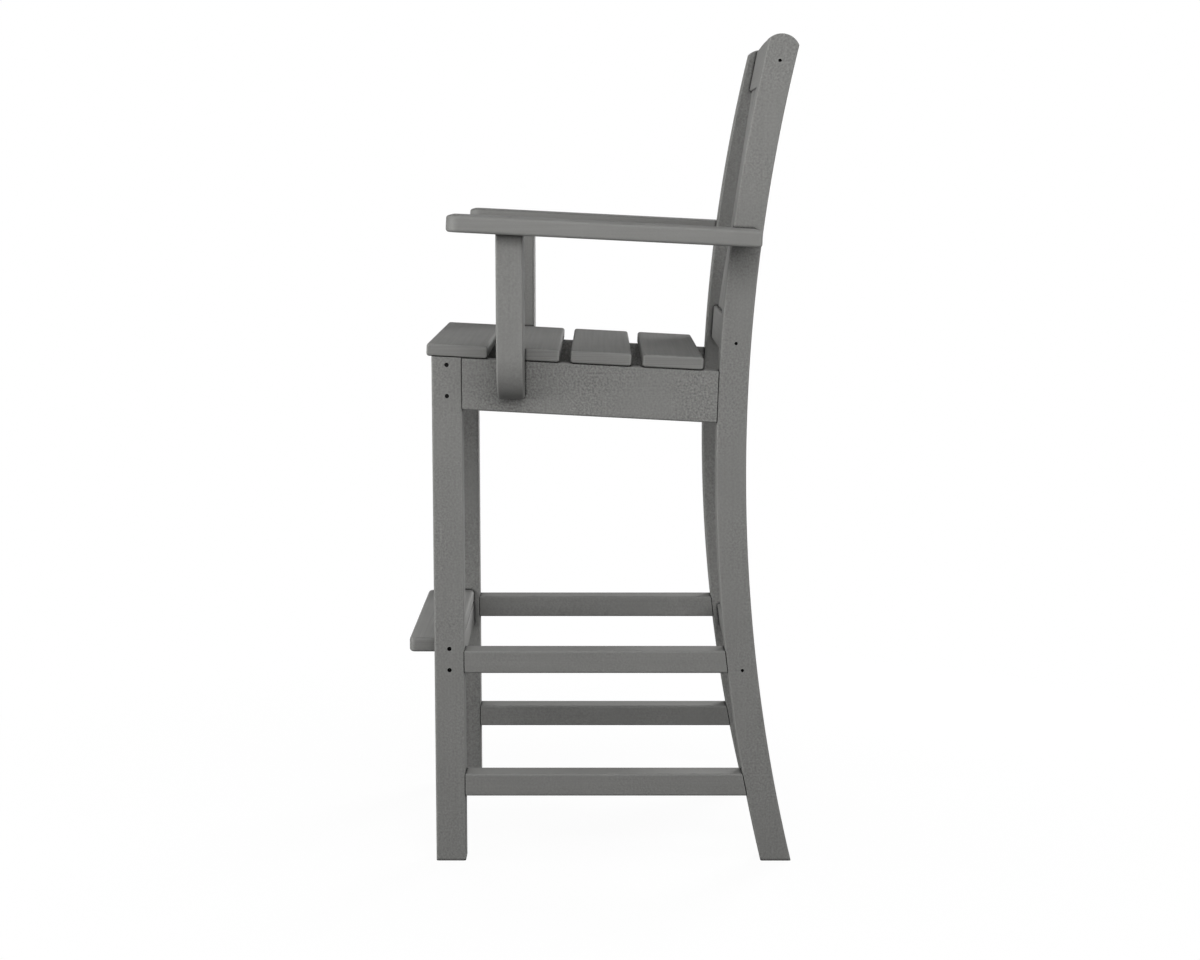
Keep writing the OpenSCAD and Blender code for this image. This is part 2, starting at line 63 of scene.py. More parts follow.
# %% Make the camera
IMAGE_WIDTH_PX = 1200
FOCAL_PX = 2183
SENSOR_MM = 36
TILT_DOWN = math.radians(7.95)
CAMERA_PLACE = (3.4026, -0.0004, 1.0209)
FARTHEST_SEEN = 50

lens = bpy.data.cameras.new("side_camera")
lens.sensor_width = SENSOR_MM
lens.lens = FOCAL_PX / IMAGE_WIDTH_PX * SENSOR_MM
lens.clip_end = FARTHEST_SEEN
camera = bpy.data.objects.new("side_camera", lens)
camera.location = CAMERA_PLACE
camera.rotation_euler = (math.radians(90) - TILT_DOWN, 0, math.radians(90))
bpy.context.scene.collection.objects.link(camera)
bpy.context.scene.camera = camera
print("lens:", round(lens.lens, 2), "mm")

# %% [markdown]
# ## A small language for node trees
# A shader or a Geometry Nodes tree is a formula drawn with boxes. Writing it as Python expressions
# keeps it short: a Signal is one output socket, and arithmetic on it adds the Math nodes. Every
# other node comes from one method, which sets the node's settings first and then its sockets.

# %% Wrap a socket in a class
class Signal:
    """One output socket of a node tree; arithmetic on it adds Math nodes."""

    def __init__(self, tree, socket=None):
        self.tree, self.socket = tree, socket

    def node(self, kind, settings=None, inputs=None, output=0):
        """Add any node: its settings first, then the values or links of its sockets."""
        made = self.tree.nodes.new(kind)
        for name, value in (settings or {}).items():
            if name == "stops":
                set_stops(made.color_ramp, value)
            else:
                setattr(made, name, value)
        for name, value in (inputs or {}).items():
            if isinstance(value, Signal):
                self.tree.links.new(value.socket, made.inputs[name])
            else:
                made.inputs[name].default_value = value
        return Signal(self.tree, made.outputs[output] if made.outputs else None)

    def math(self, operation, first, second=0.0):
        return self.node("ShaderNodeMath", {"operation": operation}, {0: first, 1: second})

    def __add__(self, other):
        return self.math("ADD", self, other)

    def __sub__(self, other):
        return self.math("SUBTRACT", self, other)

    def __rsub__(self, other):
        return self.math("SUBTRACT", other, self)

    def __mul__(self, other):
        return self.math("MULTIPLY", self, other)

    def __truediv__(self, other):
        return self.math("DIVIDE", self, other)

    def __pow__(self, other):
        return self.math("POWER", self, other)

    __radd__ = __add__
    __rmul__ = __mul__

    def clamped(self):
        return self.node("ShaderNodeClamp", None, {"Value": self})

    def part(self, axis):
        """One component of a vector."""
        return self.node("ShaderNodeSeparateXYZ", None, {0: self}, axis)

    def blend(self, first, second):
        """Mix two colours by this value."""
        return self.node("ShaderNodeMix", {"data_type": "RGBA"}, {0: self, 6: first, 7: second}, 2)


def set_stops(ramp, stops):
    """Give a ramp its stops, each a place and a grey level."""
    for index, (place, level) in enumerate(stops):
        stop = ramp.elements[index] if index < 2 else ramp.elements.new(place)
        stop.position = place
        stop.color = (level, level, level, 1)


# %% [markdown]
# ## The lumber's grain
# The boards are coloured right through, a slate grey. Their broad faces come from the extruder with
# faint lines along the board, and their sawn and planed faces have a fine eggshell grain that
# catches the light. Noise on Object coordinates gives both. These count in metres, so the grain is
# equally fine on a long board and on a short one, which a stretched picture would not be.

# %% Lines and eggshell
ALONG_X, ALONG_Y, ALONG_Z = range(3)
GRAIN_PER_M = 330
LINES_PER_M = 260
LINE_STRETCH = 0.012
SAW_MARK_RATE = 1.6
MOTTLE_PER_M = 14
PATCHES_PER_M = 9
PATCH_FROM, PATCH_CONTRAST = 0.36, 4
GRAIN_OFF_SIDES = 0.25
GRAIN_OFF_PATCHES, GRAIN_IN_PATCHES = 0.5, 0.8


def noise(place, scale, detail, roughness=0.6):
    """Noise that varies round a half."""
    return place.node("ShaderNodeTexNoise", None, {
        "Vector": place, "Scale": scale, "Detail": detail, "Roughness": roughness})


def stretched(place, scale):
    """A place with each axis scaled by its own number."""
    return place.node("ShaderNodeMapping", None, {"Vector": place, "Scale": scale})


def board_lines(place, run_axis, sidelong):
    """Lines along the board, and level saw marks on the ends of one that runs across."""
    scale = [LINES_PER_M] * 3
    scale[run_axis] = LINES_PER_M * LINE_STRETCH
    lines = noise(stretched(place, scale), 1, 3)
    if run_axis != ALONG_X:
        return lines
    marks = noise(stretched(place, (
        LINES_PER_M, LINES_PER_M * LINE_STRETCH, LINES_PER_M * SAW_MARK_RATE)), 1, 2)
    return lines * (1 - sidelong) + marks * sidelong


def sawn_share(place, sidelong):
    """How much of the eggshell shows: it is full on the sides, and it comes and goes in patches."""
    patches = ((noise(place, PATCHES_PER_M, 1, 0.5) - PATCH_FROM) * PATCH_CONTRAST).clamped()
    return ((sidelong * (1 - GRAIN_OFF_SIDES) + GRAIN_OFF_SIDES)
            * (patches * GRAIN_IN_PATCHES + GRAIN_OFF_PATCHES))


# %% [markdown]
# ## Wear, painted highlights and painted shade
# Sharp edges are made a little paler, partly as rubbed wear and partly as a painted highlight, and
# the upright rounded corners get a painted highlight of their own. Crevices where two boards meet,
# and the undersides, are darkened with painted shade. The Bevel node finds the sharp edges and the
# Ambient Occlusion node finds the crevices. The upright corners are already round, and there the
# surface's own normal tells them: it looks partly aside and partly forward.

# %% Paler edges, painted highlights, and painted shade in crevices
EDGE_RADIUS = 2.6 * MM
EDGE_GAIN = 6
CORNER_HIGHLIGHT_GAIN = 6.75
CREVICE_REACH = 5 * MM
CREVICE_FROM, CREVICE_RANGE = 0.88, 0.32
UNDERSIDE_TURN, UNDERSIDE_PAINTED_SHADE = 1.4, 0.05


def edge_wear_and_highlight(aside, forward):
    """One where an edge is rubbed or gets a painted highlight, nought on the faces."""
    rounded = aside.node("ShaderNodeBevel", {"samples": 4}, {"Radius": EDGE_RADIUS})
    true_normal = aside.node("ShaderNodeNewGeometry", None, None, "True Normal")
    turn = aside.node("ShaderNodeVectorMath", {"operation": "DOT_PRODUCT"},
                      {0: rounded, 1: true_normal}, "Value")
    # The upright corners get a painted highlight; the gain brings its highest value to about one
    corner = aside ** 4 * forward * forward * CORNER_HIGHLIGHT_GAIN
    return ((1 - turn) * EDGE_GAIN + corner).clamped()


def painted_crevice_shade(facing):
    """Painted shade: one deep in a crevice, nought in the open, and a trace of it on undersides."""
    open_air = facing.node("ShaderNodeAmbientOcclusion", {"samples": 6},
                           {"Distance": CREVICE_REACH}, "AO")
    crevice = ((CREVICE_FROM - open_air) / CREVICE_RANGE).clamped()
    # Undersides get a trace of painted shade
    underneath = (facing.part(ALONG_Z) * -UNDERSIDE_TURN).clamped()
    return (crevice + underneath * UNDERSIDE_PAINTED_SHADE).clamped()


# %% [markdown]
# ## The lumber's finish
# One function joins grain, wear, painted highlights and painted shade into a material. Its
# arguments say which way a board runs, because the lines follow it, and how strongly this kind of
# board shows the eggshell and the lines. The same patterns feed the colour, the roughness and the
# bump, because a low spot in the real lumber is also darker and smoother than the grain around it.

# %% Finish the lumber
SLATE = (0.172, 0.172, 0.166)
DARKER, PALER, PAINTED_SHADE_TONE = 0.7, 1.3, 0.02
SIDE_FROM, SIDE_RANGE = 0.6, 0.3
MOTTLE_RELIEF = 0.2
RELIEF_SHADE, EDGE_SHADE = 1.1, 0.34
ROUGH, LINE_ROUGH, GRAIN_ROUGH, EDGE_POLISH = 0.78, 0.16, 0.2, 0.06
RELIEF_DEPTH = 0.5 * MM
LUMBER_SHINE = 0.12


def tinted(factor):
    """The lumber's colour, lighter or darker, as a colour socket takes it."""
    return tuple(channel * factor for channel in SLATE) + (1,)


def finish_lumber(name, run_axis, grain, streaks):
    """A board's finish: how strongly it shows the eggshell, and the lines along it."""
    material = bpy.data.materials.new(name)
    material.use_nodes = True
    tree = material.node_tree
    surface = tree.nodes["Principled BSDF"]
    start = Signal(tree)
    place = start.node("ShaderNodeTexCoord", None, None, "Object")
    facing = start.node("ShaderNodeTexCoord", None, None, "Normal")
    aside = start.math("ABSOLUTE", facing.part(ALONG_X))
    sidelong = ((aside - SIDE_FROM) / SIDE_RANGE).clamped()

    lines = board_lines(place, run_axis, sidelong) - 0.5
    eggshell = (noise(place, GRAIN_PER_M, 1, 0.5) - 0.5) * sawn_share(place, sidelong)
    mottle = noise(place, MOTTLE_PER_M, 3) - 0.5
    relief = eggshell * grain + lines * streaks + mottle * MOTTLE_RELIEF
    # Paler edges: partly rubbed wear, partly a painted highlight, which the upright corners get as
    # well
    edge = edge_wear_and_highlight(aside, facing.part(ALONG_Y))

    shade = (relief * RELIEF_SHADE + edge * EDGE_SHADE + 0.5).clamped()
    # Crevices and undersides are blended towards near-black: painted shade
    colour = painted_crevice_shade(facing).blend(shade.blend(tinted(DARKER), tinted(PALER)), tinted(PAINTED_SHADE_TONE))
    tree.links.new(colour.socket, surface.inputs["Base Color"])
    rough = (ROUGH + lines * LINE_ROUGH + eggshell * GRAIN_ROUGH - edge * EDGE_POLISH).clamped()
    tree.links.new(rough.socket, surface.inputs["Roughness"])
    bump = start.node("ShaderNodeBump", None,
                      {"Strength": 1.0, "Distance": RELIEF_DEPTH, "Height": relief})
    tree.links.new(bump.socket, surface.inputs["Normal"])
    surface.inputs["Specular IOR Level"].default_value = LUMBER_SHINE
    return material


LUMBER = {
    "across": finish_lumber("lumber_across", ALONG_X, 1.0, 0.35),
    "lengthways": finish_lumber("lumber_lengthways", ALONG_Y, 1.5, 0.3),
    "thin_lengthways": finish_lumber("thin_lumber_lengthways", ALONG_Y, 0.5, 0.3),
    "upright": finish_lumber("lumber_upright", ALONG_Z, 1.0, 0.3),
    "smooth_across": finish_lumber("smooth_lumber_across", ALONG_X, 0.15, 0.8),
    "smooth_lengthways": finish_lumber("smooth_lumber_lengthways", ALONG_Y, 0.15, 0.3),
    "smooth_upright": finish_lumber("smooth_lumber_upright", ALONG_Z, 0.5, 0.35),
}
print("lumber finishes:", len(LUMBER), "nodes each:", len(LUMBER["upright"].node_tree.nodes))

# %% [markdown]
# ## The finish of the screws and their holes
# The screws are dark coated steel, sunk deep in their holes. A rough near-black coat with worn,
# paler spots reads as a dark head at the bottom of a hole. Screws whose heads sit deeper in shade
# get a still blacker copy of the coat, which is painted shade. The walls of the holes are nearly
# black as well, which is painted shade too.

# %% Finishes for screws and bores
SPOTS_PER_M = 1400
UNWORN, WORN = (0.45, 0), (0.75, 1)
COAT_ROUGH, SPOT_ROUGH = 0.38, 0.3
SPOT_DEPTH = 0.03 * MM


def finish_dark(name, dark, pale, metallic, shine):
    """A dark, rough coat that is worn paler in spots."""
    material = bpy.data.materials.new(name)
    material.use_nodes = True
    tree = material.node_tree
    surface = tree.nodes["Principled BSDF"]
    start = Signal(tree)
    wear = noise(start.node("ShaderNodeTexCoord", None, None, "Object"), SPOTS_PER_M, 3)
    worn = start.node("ShaderNodeValToRGB", {"stops": [UNWORN, WORN]}, {"Fac": wear})
    coat = worn.blend((dark, dark, dark, 1), (pale, pale, pale, 1))
    tree.links.new(coat.socket, surface.inputs["Base Color"])
    tree.links.new((COAT_ROUGH + wear * SPOT_ROUGH).socket, surface.inputs["Roughness"])
    bump = start.node("ShaderNodeBump", None, {"Distance": SPOT_DEPTH, "Height": wear})
    tree.links.new(bump.socket, surface.inputs["Normal"])
    surface.inputs["Metallic"].default_value = metallic
    surface.inputs["Specular IOR Level"].default_value = shine
    return material


STEEL = finish_dark("dark_screw_steel", 0.008, 0.025, 0.85, 0.3)
# Painted shade: the same coat, made blacker for screws that sit deep in shade
SHADED_SCREW_STEEL = finish_dark("shaded_black_screw_steel", 0.0005, 0.003, 0.0, 0.03)
# Painted shade: hole walls made near-black for the shade inside the holes
BORE_SHADE = finish_dark("shaded_bore_wall", 0.001, 0.004, 0.0, 0.03)
print("dark finishes:", STEEL.name, SHADED_SCREW_STEEL.name, BORE_SHADE.name)

# %% [markdown]
# ## Helpers for Geometry Nodes
# A tree is built once, with its sizes as named inputs, and used for several pieces. It ends in
# Realize Instances and Set Material, because instances would be lost later. A modifier's inputs are
# set by the socket's identifier before the object is first evaluated. The result is turned into a
# plain mesh, so that the piece no longer depends on the modifier.

# %% Build a tree
def new_tree(name, inputs):
    """A geometry tree with named inputs, as (name, socket type) pairs; gives a Signal for each."""
    tree = bpy.data.node_groups.new(name, "GeometryNodeTree")
    for label, kind in inputs:
        tree.interface.new_socket(label, in_out="INPUT", socket_type="NodeSocket" + kind)
    tree.interface.new_socket("Geometry", in_out="OUTPUT", socket_type="NodeSocketGeometry")
    entry = tree.nodes.new("NodeGroupInput")
    return tree, {label: Signal(tree, entry.outputs[label]) for label, _ in inputs}


def close_tree(tree, shape, material):
    """End a tree with Realize Instances and Set Material."""
    real = shape.node("GeometryNodeRealizeInstances", None, {0: shape})
    dressed = shape.node("GeometryNodeSetMaterial", None, {"Geometry": real, "Material": material})
    leave = tree.nodes.new("NodeGroupOutput")
    tree.links.new(dressed.socket, leave.inputs[0])
    print(tree.name, "nodes:", len(tree.nodes))


# %% Run a tree
def link_piece(name, mesh):
    piece = bpy.data.objects.new(name, mesh)
    bpy.context.scene.collection.objects.link(piece)
    return piece


def evaluated_mesh(piece, name):
    """The mesh a piece shows with its modifiers."""
    shown = piece.evaluated_get(bpy.context.evaluated_depsgraph_get())
    mesh = bpy.data.meshes.new_from_object(shown)
    mesh.name = name
    return mesh


def run_tree(name, tree, values, points=None):
    """Run a tree on a mesh of points, or on nothing, and give the plain mesh."""
    host = link_piece(name, points or bpy.data.meshes.new(name + "_points"))
    modifier = host.modifiers.new("rule", "NODES")
    modifier.node_group = tree
    sockets = {item.name: item.identifier for item in tree.interface.items_tree
               if item.in_out == "INPUT"}
    for label, value in values.items():
        modifier[sockets[label]] = value
    mesh = evaluated_mesh(host, name)
    bpy.data.objects.remove(host)
    # The tree puts its finish in a second slot; one slot is enough
    finish = mesh.materials[len(mesh.materials) - 1]
    mesh.materials.clear()
    mesh.materials.append(finish)
    mesh.polygons.foreach_set("material_index", [0] * len(mesh.polygons))
    return mesh


# %% [markdown]
# ## Shading
# A board's long corners are round, and its sawn ends are crisp. Shading is smooth except across
# edges that are sharp, and the flat faces outweigh the narrow ones next to them. So the flats look
# flat and the fillets look round, with few faces in each fillet.

# %% Shade a piece
SHARP = math.radians(38)
FLAT_FACE_WEIGHT = 100


def settle(piece):
    """Turn what the modifiers make into the piece's own mesh."""
    mesh = evaluated_mesh(piece, piece.name)
    piece.modifiers.clear()
    piece.data = mesh


def shade(piece):
    """Shade a piece smooth, with flat faces kept flat and sharp edges kept sharp."""
    piece.data.shade_smooth()
    piece.data.set_sharp_from_angle(angle=SHARP)
    weigh = piece.modifiers.new("flat_faces_first", "WEIGHTED_NORMAL")
    weigh.keep_sharp, weigh.weight = True, FLAT_FACE_WEIGHT
    settle(piece)


# %% [markdown]
# ## Easing the saw cuts
# A saw leaves crisp edges, and a quick pass with sandpaper eases them. A narrow bevel along each
# cut gives the boards' ends a thin bright line, as on the real ones. The rims of the small screw
# holes stay crisp, because a drill cuts them clean. A Bevel modifier would take those too, so the
# cuts are chosen first: they are the chains of sharp edges that reach further than a hole is wide.

# %% Ease the edges
FOLDED = math.radians(120)
SAWN_EASE = 0.6 * MM
HOLE_SPAN = 12 * MM


def saw_cuts(build):
    """The sharp outward edges of a mesh, without the rims of its small holes."""
    left = {edge for edge in build.edges
            if edge.is_manifold and edge.is_convex and edge.calc_face_angle() > SHARP}
    cuts = []
    while left:
        chain = [left.pop()]
        for edge in chain:
            for near in [near for vertex in edge.verts for near in vertex.link_edges]:
                if near in left:
                    left.discard(near)
                    chain.append(near)
        places = [vertex.co for edge in chain for vertex in edge.verts]
        if max((place - places[0]).length for place in places) > HOLE_SPAN:
            cuts += chain
    return cuts


def ease(piece, width, segments=2):
    """Bevel a piece's saw cuts, narrower where the full width would fold a face over."""
    for clamp in (False, True):
        build = bmesh.new()
        build.from_mesh(piece.data)
        bmesh.ops.bevel(build, geom=saw_cuts(build), offset=width, offset_type="OFFSET",
                        segments=segments, profile=0.5, affect="EDGES",
                        clamp_overlap=clamp, material=-1)
        folds = sum(edge.is_manifold and edge.calc_face_angle() > FOLDED for edge in build.edges)
        if clamp or not folds:
            build.to_mesh(piece.data)
        build.free()
        if not folds:
            break
    shade(piece)


# %% [markdown]
# ## Slats
# The seat's four slats and the back's five are planks of one section, laid side by side at an even
# step. That is a rule, so one tree makes both rows: a rounded rectangle is swept along a line, and
# the plank is set on a row of points. The row is made flat, because that keeps the tree simple, and
# each row is turned into its place afterwards.

# %% A tree for a row of slats
def slat_row_tree():
    tree, size = new_tree("slat_row", [
        ("Geometry", "Geometry"), ("Count", "Int"), ("Step", "Float"), ("Width", "Float"),
        ("Thickness", "Float"), ("Length", "Float"), ("Edge Radius", "Float"),
        ("Edge Steps", "Int"), ("Finish", "Material")])
    start = size["Width"]
    section = start.node("GeometryNodeCurvePrimitiveQuadrilateral", None,
                         {"Width": size["Width"], "Height": size["Thickness"]})
    rounded = start.node("GeometryNodeFilletCurve", {"mode": "POLY"}, {
        "Curve": section, "Radius": size["Edge Radius"], "Count": size["Edge Steps"]})
    end = start.node("ShaderNodeCombineXYZ", None, {"X": size["Length"]})
    line = start.node("GeometryNodeCurvePrimitiveLine", None, {"End": end})
    plank = start.node("GeometryNodeCurveToMesh", None,
                       {"Curve": line, "Profile Curve": rounded, "Fill Caps": True})
    step = start.node("ShaderNodeCombineXYZ", None, {"Y": size["Step"]})
    row = start.node("GeometryNodeMeshLine", None, {"Count": size["Count"], "Offset": step})
    laid = start.node("GeometryNodeInstanceOnPoints", None, {"Points": row, "Instance": plank})
    close_tree(tree, laid, size["Finish"])
    return tree


SLAT_ROW = slat_row_tree()

# %% Make a row and turn it into place
FILLET_STEPS = 5
END_SEGMENTS = 4


def mesh_box(mesh):
    """The lowest and highest corners of a mesh."""
    return [[pick(vertex.co[axis] for vertex in mesh.vertices) for axis in range(3)]
            for pick in (min, max)]


def print_box(piece):
    low, high = mesh_box(piece.data)
    print(piece.name, [round(v, 4) for v in low], [round(v, 4) for v in high])


def slat_row(name, sizes, finish, matrix, node_names, end_ease):
    """Make a row of slats, turn it into place and let it stand for its solids."""
    mesh = run_tree(name, SLAT_ROW, {**sizes, "Edge Steps": FILLET_STEPS, "Finish": LUMBER[finish]})
    mesh.transform(matrix)
    piece = link_piece(name, mesh)
    ease(piece, end_ease, END_SEGMENTS)
    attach(piece, "root")
    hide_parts(*node_names)
    print_box(piece)


# %% [markdown]
# ## The seat
# Four broad slats lie across the chair on the side rails and slope down to the rear. The first one
# hangs a little over the front legs. Their ends are rounded over wider than other saw cuts are
# eased, because a sitter's legs rest on them, so they get a bevel of their own width.

# %% Lay the seat's slats
OUTER_X = 230.6 * MM
FRONT_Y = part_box("left_front_leg")[0].y
SEAT_H = 779 * MM
SEAT_SLOPE = math.radians(-3)
SEAT_SLATS = 4
SLAT_W, SLAT_T, SLAT_GAP = 88.9 * MM, 19.05 * MM, 16.2 * MM
SLAT_OVERHANG = 6.5 * MM
SLAT_FILLET = 4.2 * MM
ROUNDED_END = 3.6 * MM
on_seat = Matrix.Translation((0, FRONT_Y, SEAT_H)) @ Matrix.Rotation(SEAT_SLOPE, 4, "X")
first_slat = Matrix.Translation((-OUTER_X, SLAT_W / 2 - SLAT_OVERHANG, -SLAT_T / 2))
slat_row(
    "seat_slats",
    {"Count": SEAT_SLATS, "Step": SLAT_W + SLAT_GAP, "Width": SLAT_W, "Thickness": SLAT_T,
     "Length": 2 * OUTER_X, "Edge Radius": SLAT_FILLET},
    "smooth_across", on_seat @ first_slat,
    ["seat_slat_%d" % i for i in range(1, SEAT_SLATS + 1)], ROUNDED_END)

# %% [markdown]
# ## The back's slats
# Five thin slats lean back between the two back rails, with their ends housed in both. Their length
# and lean are worked out from the box of a packed slat, because the new slats have to sit in the
# same mortises: the box holds the length and the thickness, both turned by the lean.

# %% Find the length and lean of a back slat
BACK_SLATS = 5
BACK_SLAT_W, BACK_SLAT_T = 63.5 * MM, 12.7 * MM
BACK_SLAT_FILLET = 2.4 * MM
LEAN_ROUNDS = 8
slat_low, slat_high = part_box("back_slat_1")
next_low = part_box("back_slat_2")[0]
lean_run = slat_high.y - slat_low.y
lean_rise = slat_high.z - slat_low.z
back_lean = math.atan2(lean_run, lean_rise)
for _ in range(LEAN_ROUNDS):
    back_length = (lean_rise - BACK_SLAT_T * math.sin(back_lean)) / math.cos(back_lean)
    back_lean = math.asin((lean_run - BACK_SLAT_T * math.cos(back_lean)) / back_length)
print("back slats: length", round(back_length, 4), "lean", round(math.degrees(back_lean), 2))

# %% Stand the back's slats
foot = Vector(((slat_low.x + slat_high.x) / 2,
               slat_low.y + BACK_SLAT_T / 2 * math.cos(back_lean),
               slat_low.z + BACK_SLAT_T / 2 * math.sin(back_lean)))
upward = Vector((0, math.sin(back_lean), math.cos(back_lean)))
across = Vector((1, 0, 0))
stand = Matrix((upward, across, upward.cross(across))).transposed().to_4x4()
slat_row(
    "back_slats",
    {"Count": BACK_SLATS, "Step": next_low.x - slat_low.x, "Width": BACK_SLAT_W,
     "Thickness": BACK_SLAT_T, "Length": back_length, "Edge Radius": BACK_SLAT_FILLET},
    "smooth_upright", Matrix.Translation(foot) @ stand,
    ["back_slat_%d" % i for i in range(1, BACK_SLATS + 1)], SAWN_EASE)

# %% [markdown]
# ## Where the screws are
# Each group of screws is one node with a separate solid for each screw. Walking over the joined
# vertices finds the solids, and each solid tells its axis, its head and its sizes. Measuring them
# beats typing their places again, because the new screws then sit exactly where the solids do.

# %% Tell the solids of a mesh apart
WELD = 0.001 * MM
SCREW_NODES = [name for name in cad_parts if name.endswith("_screws")]


def islands(mesh):
    """The places of the vertices of each separate solid in a mesh, in a fixed order."""
    build = bmesh.new()
    build.from_mesh(mesh)
    bmesh.ops.remove_doubles(build, verts=build.verts, dist=WELD)
    build.verts.index_update()
    met = set()
    for first in build.verts:
        if first.index in met:
            continue
        met.add(first.index)
        reached = [first]
        for vertex in reached:
            for edge in vertex.link_edges:
                near = edge.other_vert(vertex)
                if near.index not in met:
                    met.add(near.index)
                    reached.append(near)
        yield [vertex.co.copy() for vertex in reached]
    build.free()


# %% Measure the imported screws
END_REACH = 3 * MM
RIM_SLACK = 0.01 * MM


def spread(points, end, along):
    """How wide a screw is near one of its ends."""
    near = [p - end for p in points if abs((p - end).dot(along)) < END_REACH]
    return max((step - along * step.dot(along)).length for step in near)


def measure_screw(points):
    """Top of the head, outward axis, head radius and whole length of one screw."""
    one_end = max(points, key=lambda p: (p - points[0]).length)
    other_end = max(points, key=lambda p: (p - one_end).length)
    along = (other_end - one_end).normalized()
    tip = min((one_end, other_end), key=lambda end: spread(points, end, along))
    length = max((p - tip).length for p in points)
    rim = [p for p in points if (p - tip).length > length - RIM_SLACK]
    axis = (sum(rim, Vector()) / len(rim) - tip).normalized()
    length = max((p - tip).dot(axis) for p in points)
    radius = max((p - tip - axis * (p - tip).dot(axis)).length for p in points)
    return tip + axis * length, axis, radius, length


screws = {name: [measure_screw(points) for points in islands(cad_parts[name].data)]
          for name in SCREW_NODES}
for name, found in screws.items():
    _, _, radius, length = found[0]
    print(name, len(found), "head", round(2 * radius / MM, 2), "length", round(length / MM, 1))

# %% [markdown]
# ## The screws
# A trim screw has a small head with a star-shaped recess and a plain shank. They repeat, so a tree
# sets one screw on every measured place and turns it along its axis. The recess is cut inside the
# tree from two three-sided prisms, which make a six-pointed star.

# %% A tree for screws on points
HEAD_SIDES, SHANK_SIDES = 28, 20
STAR_REACH, STAR_DEPTH = 0.62, 1.2
SHANK_SHARE = 0.9
BLUNT_TIP_R = 0.2 * MM


def screw_tree():
    tree, size = new_tree("screws_on_points", [
        ("Geometry", "Geometry"), ("Head Radius", "Float"), ("Head Height", "Float"),
        ("Shank Radius", "Float"), ("Length", "Float"), ("Finish", "Material")])
    start = size["Length"]

    def cylinder(sides, radius, depth, middle, turn=0.0):
        shape = start.node("GeometryNodeMeshCylinder", None,
                           {"Vertices": sides, "Radius": radius, "Depth": depth})
        offset = start.node("ShaderNodeCombineXYZ", None, {"Z": middle})
        return start.node("GeometryNodeTransform", None, {
            "Geometry": shape, "Translation": offset, "Rotation": (0, 0, turn)})

    head = cylinder(HEAD_SIDES, size["Head Radius"], size["Head Height"],
                    size["Head Height"] * -0.5)
    cut_head = start.node("GeometryNodeMeshBoolean",
                          {"operation": "DIFFERENCE", "solver": "EXACT"}, {"Mesh 1": head})
    for turn in (0, math.radians(60)):
        prism = cylinder(3, size["Head Radius"] * STAR_REACH,
                         size["Head Height"] * STAR_DEPTH, 0.0, turn)
        tree.links.new(prism.socket, cut_head.socket.node.inputs["Mesh 2"])
    shank_length = size["Length"] - size["Head Height"]
    shank = cylinder(SHANK_SIDES, size["Shank Radius"], shank_length * SHANK_SHARE,
                     size["Head Height"] * -1 - shank_length * (SHANK_SHARE / 2))
    point = start.node("GeometryNodeMeshCone", None, {
        "Vertices": SHANK_SIDES, "Radius Top": BLUNT_TIP_R, "Radius Bottom": size["Shank Radius"],
        "Depth": shank_length * (1 - SHANK_SHARE)})
    turned = start.node("GeometryNodeTransform", None, {
        "Geometry": point, "Rotation": (math.pi, 0, 0),
        "Translation": start.node("ShaderNodeCombineXYZ", None,
                                  {"Z": size["Head Height"] * -1 - shank_length * SHANK_SHARE})})
    whole = start.node("GeometryNodeJoinGeometry")
    for shape in (cut_head, shank, turned):
        tree.links.new(shape.socket, whole.socket.node.inputs[0])
    aim = start.node("GeometryNodeInputNamedAttribute", {"data_type": "FLOAT_VECTOR"},
                     {"Name": "aim"})
    turning = start.node("FunctionNodeAlignRotationToVector", {"axis": "Z"}, {"Vector": aim})
    placed = start.node("GeometryNodeInstanceOnPoints", None, {
        "Points": size["Geometry"], "Instance": whole, "Rotation": turning})
    close_tree(tree, placed, size["Finish"])
    return tree


SCREW_TREE = screw_tree()

# %% Make every group of screws
HEAD_HEIGHT = 3 * MM
LARGE_HEAD_R = 2.6 * MM
PALER_SCREWS = ("apron_screws", "arm_post_screws", "arm_screws")


def shank_radius(head_radius):
    """A large head has a somewhat thinner shank for its size than a small one."""
    return head_radius * (0.7 if head_radius > LARGE_HEAD_R else 0.74)


def make_screws(name):
    """Model one group of screws on their measured places."""
    found = screws[name]
    points = bpy.data.meshes.new(name + "_places")
    points.from_pydata([top for top, _, _, _ in found], [], [])
    aim = points.attributes.new("aim", "FLOAT_VECTOR", "POINT")
    for index, (_, axis, _, _) in enumerate(found):
        aim.data[index].vector = axis
    _, _, radius, length = found[0]
    # Screws outside PALER_SCREWS get the blacker coat, which is painted shade
    mesh = run_tree("modelled_" + name, SCREW_TREE, {
        "Head Radius": radius, "Head Height": HEAD_HEIGHT, "Shank Radius": shank_radius(radius),
        "Length": length, "Finish": STEEL if name in PALER_SCREWS else SHADED_SCREW_STEEL}, points)
    piece = link_piece("modelled_" + name, mesh)
    shade(piece)
    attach(piece, "root")
    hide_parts(name)


for name in SCREW_NODES:
    make_screws(name)
print("screws:", sum(len(found) for found in screws.values()))

# %% [markdown]
# ## The walls of the holes
# The near-black finish goes on the walls of the holes and nowhere else: painted shade, for the
# shade inside the holes. A face belongs to a wall if it lies close round the axis of a screw and
# either stands along that axis or lies below the rim. The measured screws tell where to look, so no
# face is chosen by its number, which could change.

# %% Paint shade on the walls
WALL_REACH = 3.4 * MM
WALL_FLOOR, WALL_MOUTH = -4 * MM, 10 * MM
WALL_TURN = 0.3


